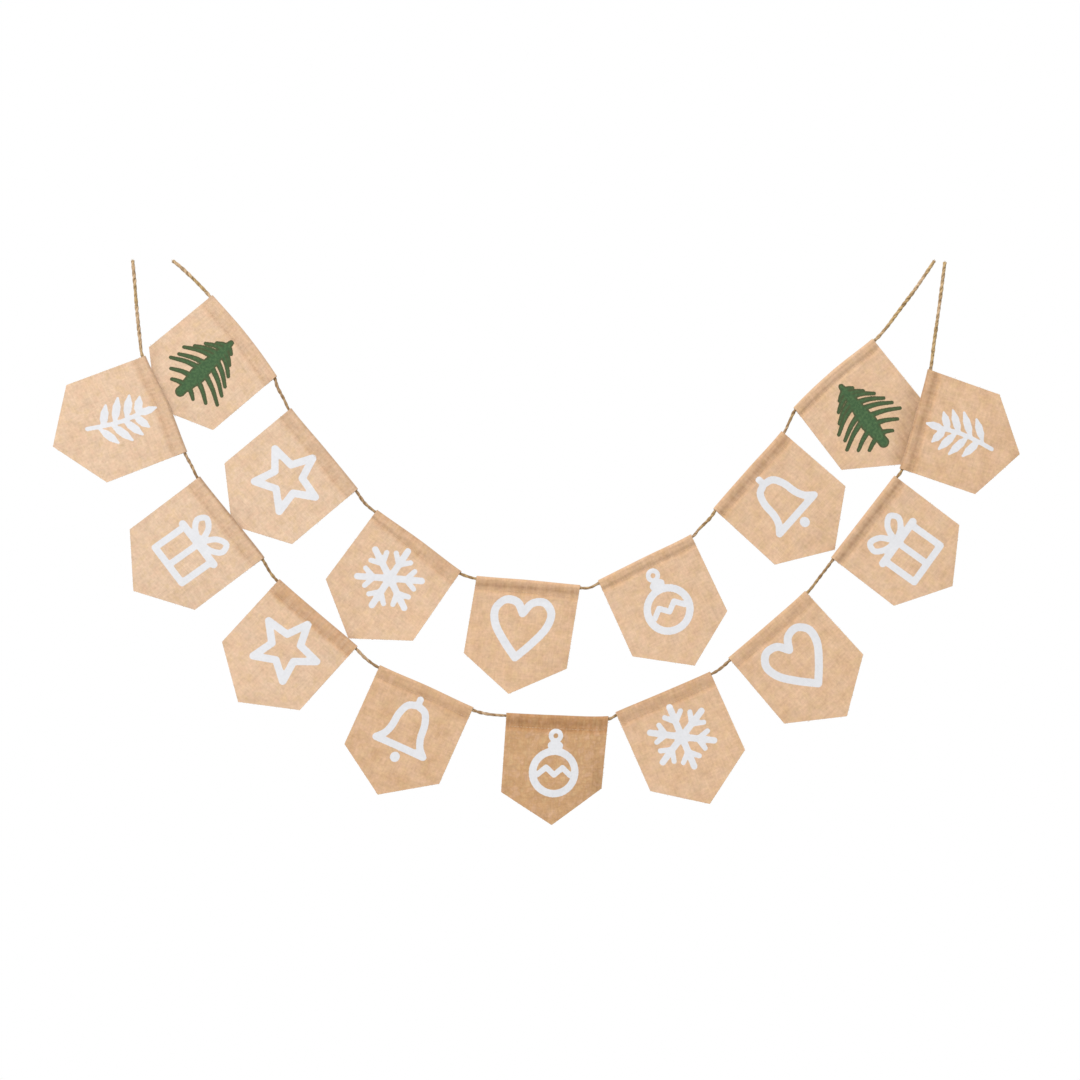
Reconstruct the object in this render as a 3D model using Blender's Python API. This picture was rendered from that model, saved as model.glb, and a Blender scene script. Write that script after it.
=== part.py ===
"""Burlap bunting: two jute twines hung as deep loops, the longer one in front of the shorter, each
threaded through the casings of its own row of five-sided pennants. The twines are cut off at the
height they are hung from.

Sizes and places are in millimetres and are turned into metres where a mesh is made. X runs to the
right, Z up, and the front faces -Y. The origin is the middle of the line that the twines hang from.
"""

from collections import namedtuple
from math import atan2, cos, radians, sin

import bmesh
import bpy
import numpy as np

MM = 0.001

# Cloth and twine.
CLOTH = 1.2                 # burlap with its nap
TWINE_RADIUS = 2.0
ROW_STANDOFF = 2.95         # from the origin's plane to each row's twine

# The casing: the top of each pennant is turned to the back over the twine and stitched.
TWINE_PLAY = 0.5            # from the twine to the cloth round it
LAYER_GAP = 0.4             # between the two layers at the stitches
FLAP_BELOW_STITCH = 2.0
FOLD_RADIUS = TWINE_RADIUS + TWINE_PLAY + CLOTH / 2     # to the middle of the cloth
FOLD_START = radians(-25)   # behind the twine, just below its middle
FOLD_END = radians(205)     # the same in front of it
FOLD_STEPS = 6
EDGE_ABOVE_TWINE = FOLD_RADIUS + CLOTH / 2
HALF_LAYERS = (CLOTH + LAYER_GAP) / 2
PINCH_MOST = 5.0            # where the layers have closed up under the twine
SWELL = 2.1                 # how far the cloth stands forward again below the stitches
SWELL_DROP = 5.0
SWELL_FADE = 0.4            # share of the hanging cloth over which that swell dies out

COLUMNS = 8                 # across a pennant, the tip on the middle one
BODY_STEPS = (0.25, 0.5, 0.75, 1.0)
CASING_POINTS = 4           # stretches of twine inside a casing
SPAN_STEP = 12.0            # along the free twine between two pennants
END_STEP = 20.0             # along the free twine at both ends
CURVE_STEPS = 24            # between two points of a route, when it is smoothed

# The middle of each twine, left to right: x, z.
UPPER_ROUTE = (
    (-446, 1), (-437, -6), (-424, -18), (-411, -31),
    (-401, -42), (-360, -89), (-323, -140), (-319, -152), (-311, -167),
    (-304, -181), (-263, -230), (-223, -279), (-213, -293),
    (-200, -304), (-149, -340), (-100, -377), (-89, -382),
    (-77, -385), (-15, -390), (47, -396), (60, -396),
    (72, -390), (128, -362), (185, -334), (193, -325), (207, -311),
    (214, -301), (255, -254), (296, -208), (303, -194),
    (311, -179), (357, -135), (406, -96),
    (420, -81), (432, -65), (444, -49), (456, -33), (467, -17), (479, 1),
)
LOWER_ROUTE = (
    (-494, 1), (-492, -20), (-489, -58), (-485, -96),
    (-482, -115), (-454, -173), (-431, -232), (-422, -249),
    (-415, -263), (-376, -312), (-337, -361), (-326, -379),
    (-316, -390), (-270, -430), (-224, -469), (-211, -482),
    (-195, -493), (-138, -518), (-82, -544), (-64, -549),
    (-41, -551), (21, -554), (83, -555),
    (95, -549), (152, -525), (209, -500), (220, -493),
    (230, -484), (278, -443), (324, -402), (340, -382),
    (356, -361), (394, -312), (431, -264),
    (439, -253), (457, -193), (473, -134), (478, -98), (485, -48), (491, 1),
)

# One pennant. gap: free twine before it. hem_*: from the top edge down to the stitches, at the left
# and right. left, tip, right: the two shoulders and the tip as they hang, across and down from the
# top left corner. belly, lift_*: how far the middle, the shoulders and the tip stand forward.
# tone: 0 for the lightest burlap, 1 for the brownest.
Pennant = namedtuple(
    "Pennant", "gap width hem_left hem_right left tip right belly lift_left lift_right lift_tip tone"
)
UPPER_PENNANTS = (
    Pennant(63.5, 125.5, 16.5, 16.5, (1.5, 100), (64.5, 139), (128.5, 101.5), 0.7, -1.0, -1.0, 0.0, 0.1),
    Pennant(43.0, 127, 15.5, 16, (0, 105.5), (64, 146.5), (128, 104.5), 0.2, -2.0, 2.0, 0.0, 0.25),
    Pennant(36.0, 126, 11, 17, (-1, 105), (63.5, 147), (128.5, 103), -1.5, 1.0, 3.0, -1.0, 0.35),
    Pennant(22.0, 126, 15, 16, (-7.5, 95), (51, 139.5), (118.5, 103), 1.0, -3.0, -2.5, 1.5, 0.4),
    Pennant(25.0, 125.5, 13, 13.5, (-3.5, 101.5), (59, 145), (124, 103.5), 1.5, 2.0, -3.0, 1.0, 0.35),
    Pennant(43.5, 125, 14, 15, (-2, 101), (60, 144), (126, 102.5), -2.0, 2.5, 1.0, -2.5, 0.35),
    Pennant(32.0, 127, 12.5, 13, (-6, 95.5), (65, 147), (123, 101), 0.6, -1.5, 0.0, 0.0, 0.3),
)
LOWER_PENNANTS = (
    Pennant(118.0, 126.5, 13.5, 15, (-6, 102.5), (56, 147), (122, 104), 1.5, -2.0, 2.5, -1.5, 0.2),
    Pennant(35.0, 125.5, 16.5, 17, (-2.5, 106.5), (58.5, 149.5), (122.5, 106), 1.5, 3.0, -1.5, 1.0, 0.3),
    Pennant(33.0, 124.5, 16, 14, (-3.5, 103.5), (59, 145.5), (122, 104.5), 1.0, -2.5, 1.5, 2.0, 0.3),
    Pennant(37.0, 124, 14, 14, (0, 105), (62, 144.5), (124.5, 102), -1.5, 2.0, -2.5, 1.0, 0.55),
    Pennant(42.5, 123.5, 16, 16.5, (-3.5, 96.5), (59, 134.5), (118, 88.5), 1.5, -1.5, -5.0, -1.5, 0.9),
    Pennant(11.5, 124.5, 16, 16, (1, 104.5), (61, 147.5), (126, 104), 1.0, 2.0, 2.5, -2.0, 0.55),
    Pennant(29.5, 123, 15, 15.5, (-1.5, 105), (61.5, 148), (125.5, 104.5), -1.5, -2.0, 1.5, 1.5, 0.7),
    Pennant(52.5, 125, 14.5, 15, (0, 96), (62.5, 138), (126, 99), 1.5, 1.5, -1.5, -4.0, 0.65),
    Pennant(12.5, 125, 15, 14, (-5, 97), (56.5, 136), (119, 92), 1.0, -2.0, 2.0, -4.5, 0.6),
)

# Colours, as linear red, green and blue.
LIGHT_BURLAP = np.array((0.80, 0.56, 0.36))
BROWN_BURLAP = np.array((0.66, 0.41, 0.22))
JUTE = (0.42, 0.26, 0.10)


def principled(name, colour, roughness):
    """A plain material of one colour."""
    material = bpy.data.materials.new(name)
    material.use_nodes = True
    shader = material.node_tree.nodes["Principled BSDF"]
    shader.inputs["Base Color"].default_value = (*colour, 1.0)
    shader.inputs["Roughness"].default_value = roughness
    shader.inputs["Metallic"].default_value = 0.0
    return material


def smooth(route):
    """Close-set points of a smooth curve through the route's points, and the length up to each."""
    ends = np.array(route, float)
    ends = np.vstack((2 * ends[0] - ends[1], ends, 2 * ends[-1] - ends[-2]))
    places = []
    for before, start, stop, after in zip(ends, ends[1:], ends[2:], ends[3:]):
        # Each point's tangent runs along the line between its neighbours, so that the longer side,
        # which is mostly a casing, stays nearly straight and the free twine takes the bend.
        step = np.linalg.norm(stop - start)
        out = step * (stop - before) / (np.linalg.norm(start - before) + step)
        into = step * (after - start) / (step + np.linalg.norm(after - stop))
        for t in np.arange(CURVE_STEPS) / CURVE_STEPS:
            places.append(
                (2 * t**3 - 3 * t**2 + 1) * start + (t**3 - 2 * t**2 + t) * out
                + (3 * t**2 - 2 * t**3) * stop + (t**3 - t**2) * into
            )
    places.append(ends[-2])
    places = np.array(places)
    along = np.concatenate(([0.0], np.cumsum(np.linalg.norm(np.diff(places, axis=0), axis=1))))
    return places, along


def casing_starts(pennants):
    """How far along its twine each pennant's casing starts."""
    starts, along = [], 0.0
    for pennant in pennants:
        starts.append(along + pennant.gap)
        along = starts[-1] + pennant.width
    return starts


def stations(pennants, length):
    """The lengths along the twine at which it has a point."""
    marks, free = [0.0], 0.0
    for pennant, start in zip(pennants, casing_starts(pennants)):
        step = END_STEP if free == 0 else SPAN_STEP
        marks += list(np.linspace(free, start, max(4, round((start - free) / step) + 1)))[1:]
        marks += list(np.linspace(start, start + pennant.width, CASING_POINTS + 1))[1:]
        free = marks[-1]
    return marks + list(np.linspace(free, length, round((length - free) / END_STEP) + 1))[1:]


def twine_line(route, pennants):
    """The twine's own points: length along it, x, z."""
    places, along = smooth(route)
    marks = stations(pennants, along[-1])
    return np.column_stack((
        marks, np.interp(marks, along, places[:, 0]), np.interp(marks, along, places[:, 1])
    ))


def add_twine(name, line, depth, material):
    curve = bpy.data.curves.new(name, "CURVE")
    curve.dimensions = "3D"
    curve.bevel_depth = TWINE_RADIUS * MM
    curve.bevel_resolution = 2
    curve.use_fill_caps = True
    spline = curve.splines.new("POLY")
    spline.points.add(len(line) - 1)
    for point, (_, across, height) in zip(spline.points, line):
        point.co = (across * MM, depth * MM, height * MM, 1.0)
    curve.materials.append(material)
    twine = bpy.data.objects.new(name, curve)
    bpy.context.scene.collection.objects.link(twine)
    return twine


def blend(low, high, share):
    return low + (high - low) * share


def casing_section(hem):
    """The cloth's path from the raw edge of the flap, over the twine, to the swell below the
    stitches: how far forward it is and how high, from the twine's middle."""
    stitch = EDGE_ABOVE_TWINE - hem
    fold = [
        (-FOLD_RADIUS * cos(angle), FOLD_RADIUS * sin(angle))
        for angle in np.linspace(FOLD_START, FOLD_END, FOLD_STEPS + 1)
    ]
    low = fold[-1][1]
    pinch = max(-PINCH_MOST, blend(low, stitch, 0.6))
    half_shut = blend(HALF_LAYERS, FOLD_RADIUS, 0.25)
    return (
        [(-HALF_LAYERS, stitch - FLAP_BELOW_STITCH), (-HALF_LAYERS, stitch), (-half_shut, pinch)]
        + fold
        + [(half_shut, pinch), (HALF_LAYERS, stitch), (SWELL, stitch - SWELL_DROP)]
    )


def body_forward(pennant, share, down):
    """How far forward the hanging cloth is: share runs across it, down from the swell to the edge."""
    swell = (SWELL - HALF_LAYERS) * max(0.0, 1 - down / SWELL_FADE) ** 2
    middle = pennant.belly * 4 * share * (1 - share) * sin(radians(90 * down))
    left = pennant.lift_left * (1 - share) ** 2 * down**2
    right = pennant.lift_right * share**2 * down**2
    tip = pennant.lift_tip * max(0.0, 1 - abs(2 * share - 1)) ** 2 * down**3
    return HALF_LAYERS + swell + middle + left + right + tip


def lower_edge(pennant, share):
    """The point of the lower edge below this share of the top, across and down."""
    left, tip, right = map(np.array, (pennant.left, pennant.tip, pennant.right))
    if share <= 0.5:
        return blend(left, tip, 2 * share)
    return blend(tip, right, 2 * share - 1)


def cloth_point(pennant, hung_from, column, row):
    """A point of the middle of the cloth, in the pennant's own frame: across, back, up."""
    share = column / COLUMNS
    hem = blend(pennant.hem_left, pennant.hem_right, share)
    section = casing_section(hem)
    right_lean = (pennant.right[0] - pennant.width) / pennant.right[1]
    lean = blend(pennant.left[0] / pennant.left[1], right_lean, share)
    forward, height = section[min(row, len(section) - 1)]
    across = hung_from[0] + lean * max(0.0, EDGE_ABOVE_TWINE - height)
    height += hung_from[1]
    if row >= len(section):
        down = BODY_STEPS[row - len(section)]
        edge = lower_edge(pennant, share)
        across = blend(across, edge[0], down)
        height = blend(height, EDGE_ABOVE_TWINE - edge[1], down)
        forward = body_forward(pennant, share, down)
    return across, -forward, height


def add_pennant(name, pennant, start, line, depth, material):
    """Lays a grid over the twine between two of its points and gives it the cloth's thickness."""
    along, across, height = line.T
    marks = start + pennant.width * np.arange(COLUMNS + 1) / COLUMNS
    held = np.column_stack((np.interp(marks, along, across), np.interp(marks, along, height)))
    chord = held[-1] - held[0]
    slope = atan2(chord[1], chord[0])
    turn = np.array(((cos(slope), -sin(slope)), (sin(slope), cos(slope))))
    own = (held - held[0]) @ turn

    rows = len(casing_section(pennant.hem_left)) + len(BODY_STEPS)
    sheet = bmesh.new()
    bmesh.ops.create_grid(sheet, x_segments=COLUMNS, y_segments=rows - 1, size=0.5)
    for vertex in sheet.verts:
        column = round((vertex.co.x + 0.5) * COLUMNS)
        row = round((0.5 - vertex.co.y) * (rows - 1))
        vertex.co = np.array(cloth_point(pennant, own[column], column, row)) * MM
    mesh = bpy.data.meshes.new(name)
    sheet.to_mesh(mesh)
    sheet.free()
    mesh.shade_smooth()
    mesh.materials.append(material)

    cloth = bpy.data.objects.new(name, mesh)
    bpy.context.scene.collection.objects.link(cloth)
    cloth.location = (held[0][0] * MM, depth * MM, held[0][1] * MM)
    cloth.rotation_euler = (0.0, -slope, 0.0)
    thickness = cloth.modifiers.new("cloth thickness", "SOLIDIFY")
    thickness.thickness = CLOTH * MM
    thickness.offset = 0.0
    thickness.use_even_offset = True
    return cloth


def add_row(label, route, pennants, depth, jute):
    line = twine_line(route, pennants)
    made = [add_twine(f"twine_{label}", line, depth, jute)]
    for number, (pennant, start) in enumerate(zip(pennants, casing_starts(pennants)), 1):
        name = f"pennant_{label}_{number}"
        colour = blend(LIGHT_BURLAP, BROWN_BURLAP, pennant.tone)
        burlap = principled(f"burlap {label} {number}", colour, 0.95)
        made.append(add_pennant(name, pennant, start, line, depth, burlap))
    return made


def main():
    for old in list(bpy.data.objects):
        bpy.data.objects.remove(old)
    hanging_line = bpy.data.objects.new("hanging_line", None)
    bpy.context.scene.collection.objects.link(hanging_line)
    jute = principled("jute twine", JUTE, 0.9)
    rows = add_row("upper", UPPER_ROUTE, UPPER_PENNANTS, ROW_STANDOFF, jute)
    rows += add_row("lower", LOWER_ROUTE, LOWER_PENNANTS, -ROW_STANDOFF, jute)
    for piece in rows:
        piece.parent = hanging_line


main()
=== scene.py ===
"""The looks of a burlap bunting: two jute twines hung in deep loops, sixteen printed pennants sewn
over them, and the stitches and loose threads that go with them.

Sizes are in millimetres and are turned into metres where a piece is made. X runs to the right,
Z up, and the front faces -Y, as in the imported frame.
"""

from collections import namedtuple
from math import atan2, cos, pi, radians, sin

import bmesh
import bpy
import numpy as np
from mathutils import Matrix, Vector, noise


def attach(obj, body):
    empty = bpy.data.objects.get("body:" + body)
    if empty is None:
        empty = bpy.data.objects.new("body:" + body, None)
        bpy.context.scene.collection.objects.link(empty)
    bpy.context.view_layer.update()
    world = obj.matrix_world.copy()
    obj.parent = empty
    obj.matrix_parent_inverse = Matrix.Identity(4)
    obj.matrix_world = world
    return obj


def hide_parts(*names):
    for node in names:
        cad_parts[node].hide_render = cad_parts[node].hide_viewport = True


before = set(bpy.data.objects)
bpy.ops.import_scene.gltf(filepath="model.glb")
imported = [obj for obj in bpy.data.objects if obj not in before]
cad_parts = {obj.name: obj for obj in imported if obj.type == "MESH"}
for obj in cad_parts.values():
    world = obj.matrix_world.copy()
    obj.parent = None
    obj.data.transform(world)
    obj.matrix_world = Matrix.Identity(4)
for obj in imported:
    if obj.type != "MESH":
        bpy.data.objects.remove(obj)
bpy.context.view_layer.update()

# The camera. The bunting is photographed straight from the front, from far enough back that its
# two loops keep their shape, and the loops fill most of a square picture.
MM = 0.001
CAMERA_BACK = 4000.0
PICTURE_WIDTH = 1310.7      # at the twines
PICTURE_MIDDLE = -338.0     # below the hanging line
SENSOR = 36.0

camera = bpy.data.objects.new("camera", bpy.data.cameras.new("camera"))
camera.data.sensor_width = SENSOR
camera.data.lens = SENSOR * CAMERA_BACK / PICTURE_WIDTH
camera.data.clip_end = 100.0
camera.location = (0.0, -CAMERA_BACK * MM, PICTURE_MIDDLE * MM)
camera.rotation_euler = (radians(90), 0.0, 0.0)
bpy.context.scene.collection.objects.link(camera)
bpy.context.scene.camera = camera

# The two twines. Each is one length of 4 mm jute, two plies laid together in a slow twist, cut off
# at both ends and hung by them in a deep loop. The longer one hangs in front of the shorter.
TWINE_RADIUS = 2.0
ROW_STANDOFF = 2.95         # each row stands this far behind or in front of the middle
PLIES = 2
PLY_RADIUS = 1.8
PLY_FROM_MIDDLE = 0.7
TWINE_MOST = 2.5            # from its middle, so that it has room in the casings
TWIST_PITCH = 16.5
TWINE_STEP = 1.2
ROUND_TWINE = 20            # points round it
CURVE_STEPS = 24            # between two points of a route, when it is smoothed

# Its thickness changes by short lumps and long waves, and the plies lie close in some stretches.
# A share is of the twine's thickness, or of PLY_FROM_MIDDLE.
LUMP_LENGTH, LUMP = 6.0, 0.16
WAVE_LENGTH, WAVE = 35.0, 0.12
THICKEST = 1.1
OPEN_LENGTH, OPEN_MEAN, OPEN_CHANGE = 24.0, 0.75, 0.9
OPEN_LEAST, OPEN_MOST = 0.35, 1.05

# Between its first and last pennant a twine is drawn tight, and there it is thinner and darker.
TIGHT_SPANS = {"upper": (70, 1140), "lower": (125, 1487)}
TIGHT_THIN = 0.13

# The middle of each twine, from left to right: x, z.
UPPER_ROUTE = (
    (-446, 1), (-437, -6), (-424, -18), (-411, -31),
    (-401, -42), (-360, -89), (-323, -140), (-319, -152), (-311, -167),
    (-304, -181), (-263, -230), (-223, -279), (-213, -293),
    (-200, -304), (-149, -340), (-100, -377), (-89, -382),
    (-77, -385), (-15, -390), (47, -396), (60, -396),
    (72, -390), (128, -362), (185, -334), (193, -325), (207, -311),
    (214, -301), (255, -254), (296, -208), (303, -194),
    (311, -179), (357, -135), (406, -96),
    (420, -81), (432, -65), (444, -49), (456, -33), (467, -17), (479, 1),
)
LOWER_ROUTE = (
    (-494, 1), (-492, -20), (-489, -58), (-485, -96),
    (-482, -115), (-454, -173), (-431, -232), (-422, -249),
    (-415, -263), (-376, -312), (-337, -361), (-326, -379),
    (-316, -390), (-270, -430), (-224, -469), (-211, -482),
    (-195, -493), (-138, -518), (-82, -544), (-64, -549),
    (-41, -551), (21, -554), (83, -555),
    (95, -549), (152, -525), (209, -500), (220, -493),
    (230, -484), (278, -443), (324, -402), (340, -382),
    (356, -361), (394, -312), (431, -264),
    (439, -253), (457, -193), (473, -134), (478, -98), (485, -48), (491, -1),
)
ROWS = {"upper": (UPPER_ROUTE, ROW_STANDOFF), "lower": (LOWER_ROUTE, -ROW_STANDOFF)}


def lengths_along(points):
    """The length of a line of points up to each."""
    steps = np.linalg.norm(np.diff(points, axis=0), axis=1)
    return np.concatenate(([0.0], np.cumsum(steps)))


def smooth(route, steps):
    """Close-set points of a smooth curve through a route's points, and the length up to each."""
    ends = np.array(route, float)
    ends = np.vstack((2 * ends[0] - ends[1], ends, 2 * ends[-1] - ends[-2]))
    places = []
    for before, start, stop, after in zip(ends, ends[1:], ends[2:], ends[3:]):
        step = np.linalg.norm(stop - start)
        out = step * (stop - before) / (np.linalg.norm(start - before) + step)
        into = step * (after - start) / (step + np.linalg.norm(after - stop))
        for t in np.arange(steps) / steps:
            places.append(
                (2 * t**3 - 3 * t**2 + 1) * start + (t**3 - 2 * t**2 + t) * out
                + (3 * t**2 - 2 * t**3) * stop + (t**3 - t**2) * into
            )
    places = np.array(places + [ends[-2]])
    return places, lengths_along(places)


def at_lengths(marks, places, along):
    """The points of a smoothed curve at these lengths along it."""
    return np.column_stack([np.interp(marks, along, axis) for axis in places.T])


def twine_path(route, depth):
    """The twine's middle at even steps, and the length up to each point."""
    places, along = smooth(route, CURVE_STEPS)
    marks = np.linspace(0, along[-1], round(along[-1] / TWINE_STEP) + 1)
    flat = at_lengths(marks, places, along)
    return np.column_stack((flat[:, 0], np.full(len(flat), depth), flat[:, 1])), marks


def crossways(path):
    """Two directions square to the path at each point, which don't wind round it themselves."""
    ahead = np.gradient(path, axis=0)
    ahead /= np.linalg.norm(ahead, axis=1)[:, None]
    side = np.zeros_like(path)
    side[0] = np.cross(ahead[0], (0.0, 1.0, 0.0))
    for step in range(len(path)):
        kept = side[max(step - 1, 0)]
        kept = kept - ahead[step] * (kept @ ahead[step])
        side[step] = kept / np.linalg.norm(kept)
    return side, np.cross(ahead, side)


def link(name, data):
    """A piece in the scene that moves with the bunting."""
    piece = bpy.data.objects.new(name, data)
    bpy.context.scene.collection.objects.link(piece)
    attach(piece, "root")
    return piece


def add_mesh(name, shape, materials):
    """Makes a finished shape a piece, and frees it."""
    shape.transform(Matrix.Scale(MM, 4))
    mesh = bpy.data.meshes.new(name)
    shape.to_mesh(mesh)
    shape.free()
    mesh.shade_smooth()
    for material in materials:
        mesh.materials.append(material)
    return link(name, mesh)


def lay_twine(name, path, marks, thickness, apart, tight, material):
    """Winds the plies' common outline along a path. The lists give, at each of its points, how
    thick the twine is, how far apart its plies lie and whether it is drawn tight."""
    side, other = crossways(path)
    steps = len(path) - 1

    rope = bmesh.new()
    bmesh.ops.create_grid(rope, x_segments=steps, y_segments=ROUND_TWINE, size=0.5)
    on_rope = rope.loops.layers.uv.new("on the twine")
    drawn_tight = rope.verts.layers.float.new("drawn tight")
    for face in rope.faces:
        for corner in face.loops:
            step = round((corner.vert.co.x + 0.5) * steps)
            corner[on_rope].uv = (marks[step], PLIES * (corner.vert.co.y + 0.5))
    for vertex in rope.verts:
        step = round((vertex.co.x + 0.5) * steps)
        angle = 2 * pi * (vertex.co.y + 0.5)
        from_ply = (angle + pi / PLIES) % (2 * pi / PLIES) - pi / PLIES
        out = PLY_FROM_MIDDLE * apart[step]
        reach = out * cos(from_ply) + (PLY_RADIUS**2 - (out * sin(from_ply)) ** 2) ** 0.5
        reach = min(TWINE_MOST, reach * thickness[step])
        angle += 2 * pi * marks[step] / TWIST_PITCH
        vertex[drawn_tight] = tight[step]
        vertex.co = path[step] + reach * (cos(angle) * side[step] + sin(angle) * other[step])
    bmesh.ops.remove_doubles(rope, verts=rope.verts, dist=0.01)
    bmesh.ops.holes_fill(rope, edges=[edge for edge in rope.edges if edge.is_boundary], sides=0)
    bmesh.ops.recalc_face_normals(rope, faces=rope.faces)
    return add_mesh(name, rope, [material])


def uneven(marks, seed):
    """How the twine's thickness changes along it, thick and thin by turns."""
    thickness = []
    for mark in marks:
        lump = LUMP * noise.noise(Vector((mark / LUMP_LENGTH, seed, 0)))
        wave = WAVE * noise.noise(Vector((mark / WAVE_LENGTH, 0, seed)))
        thickness.append(min(THICKEST, 1 + lump + wave))
    return np.array(thickness)


def how_open(marks, seed):
    """How far apart the plies lie: side by side in some stretches, nearly one in others."""
    changes = [noise.noise(Vector((mark / OPEN_LENGTH, 5.0, seed))) for mark in marks]
    return np.clip(OPEN_MEAN + OPEN_CHANGE * np.array(changes), OPEN_LEAST, OPEN_MOST)


MATT = 0.15                 # how little of the light any of the fibres mirrors
NAP_SPREAD = 0.6


def start_finish(name, roughness, sheen):
    """A new material with its node tree and its shader."""
    material = bpy.data.materials.new(name)
    material.use_nodes = True
    shader = material.node_tree.nodes["Principled BSDF"]
    shader.inputs["Roughness"].default_value = roughness
    shader.inputs["Specular IOR Level"].default_value = MATT
    shader.inputs["Sheen Weight"].default_value = sheen
    shader.inputs["Sheen Roughness"].default_value = NAP_SPREAD
    return material, material.node_tree, shader


def wire(tree, socket, value):
    """Joins a node's output to a socket, or sets the socket to a number or a vector."""
    if isinstance(value, bpy.types.NodeSocket):
        tree.links.new(value, socket)
    else:
        socket.default_value = value


def reckon(tree, operation, *values, clamp=False):
    """A sum in a material."""
    node = tree.nodes.new("ShaderNodeMath")
    node.operation = operation
    node.use_clamp = clamp
    for socket, value in zip(node.inputs, values):
        wire(tree, socket, value)
    return node.outputs[0]


def times(tree, value, factor):
    """A value times another."""
    return reckon(tree, "MULTIPLY", value, factor)


def scaled(tree, value, factor, added):
    """A value times a factor, and something added."""
    return reckon(tree, "MULTIPLY_ADD", value, factor, added)


def uv_parts(tree, name):
    """A piece's own map: the point on it, and its two parts."""
    spot = tree.nodes.new("ShaderNodeUVMap")
    spot.uv_map = name
    split = tree.nodes.new("ShaderNodeSeparateXYZ")
    wire(tree, split.inputs[0], spot.outputs[0])
    return spot.outputs[0], split.outputs[0], split.outputs[1]


def place(tree, across, down, further=0.0):
    """A point for a pattern to be read at."""
    node = tree.nodes.new("ShaderNodeCombineXYZ")
    for socket, value in zip(node.inputs, (across, down, further)):
        wire(tree, socket, value)
    return node.outputs[0]


def clouds(tree, where, scale=1.0, detail=1.0):
    """Soft blotches from 0 to 1."""
    node = tree.nodes.new("ShaderNodeTexNoise")
    wire(tree, node.inputs["Vector"], where)
    node.inputs["Scale"].default_value = scale
    node.inputs["Detail"].default_value = detail
    return node.outputs["Fac"]


def between(tree, value, low, high, at_low=0.0, at_high=1.0):
    """Spreads a value smoothly from one range to another, and holds it there."""
    node = tree.nodes.new("ShaderNodeMapRange")
    node.interpolation_type = "SMOOTHSTEP"
    for socket, given in zip(node.inputs, (value, low, high, at_low, at_high)):
        wire(tree, socket, given)
    return node.outputs[0]


def tint(tree, share, low, high, way="MIX"):
    """A colour between two others."""
    node = tree.nodes.new("ShaderNodeMix")
    node.data_type = "RGBA"
    node.blend_type = way
    wire(tree, node.inputs["Factor"], share)
    wire(tree, node.inputs["A"], low if isinstance(low, bpy.types.NodeSocket) else (*low, 1))
    wire(tree, node.inputs["B"], high if isinstance(high, bpy.types.NodeSocket) else (*high, 1))
    return node.outputs["Result"]


def attribute(tree, name):
    """A value stored at the points of the mesh."""
    node = tree.nodes.new("ShaderNodeAttribute")
    node.attribute_name = name
    return node.outputs["Fac"]


def raise_surface(tree, shader, height, depth, strength):
    """Raised detail too fine for the mesh."""
    bump = tree.nodes.new("ShaderNodeBump")
    bump.inputs["Distance"].default_value = depth * MM
    bump.inputs["Strength"].default_value = strength
    wire(tree, bump.inputs["Height"], height)
    wire(tree, shader.inputs["Normal"], bump.outputs[0])


def brighten(tree, colour, value):
    """A colour times a value."""
    node = tree.nodes.new("ShaderNodeVectorMath")
    node.operation = "SCALE"
    wire(tree, node.inputs[0], colour)
    wire(tree, node.inputs["Scale"], value)
    return node.outputs[0]


# Jute: golden tan, each ply in blotches of ochre, olive and dark brown, with fibres along it, and
# painted shade in the grooves between the plies.
JUTE_TAN = (0.478, 0.338, 0.212)
JUTE_OCHRE = (0.428, 0.297, 0.138)
JUTE_BROWN = (0.198, 0.118, 0.049)
JUTE_DARK = (0.07, 0.045, 0.018)
TIGHT_BROWN = (0.17, 0.09, 0.036)
TIGHT_DARK = 0.62           # the most of it
STRETCH_CLOSE = 0.018       # how often each unevenness comes, for each millimetre of twine
BLOTCH_CLOSE = 0.11
FLECK_CLOSE = 0.3
FIBRE_CLOSE = 0.25
FIBRE_SLANT = 0.9
FIBRES_ROUND = 9.0
FLECKS_ROUND = 1.7
PLIES_APART = 3.7           # so that no ply has its neighbour's blotches
GROOVE_WIDTH = 0.17         # of half a ply


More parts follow.
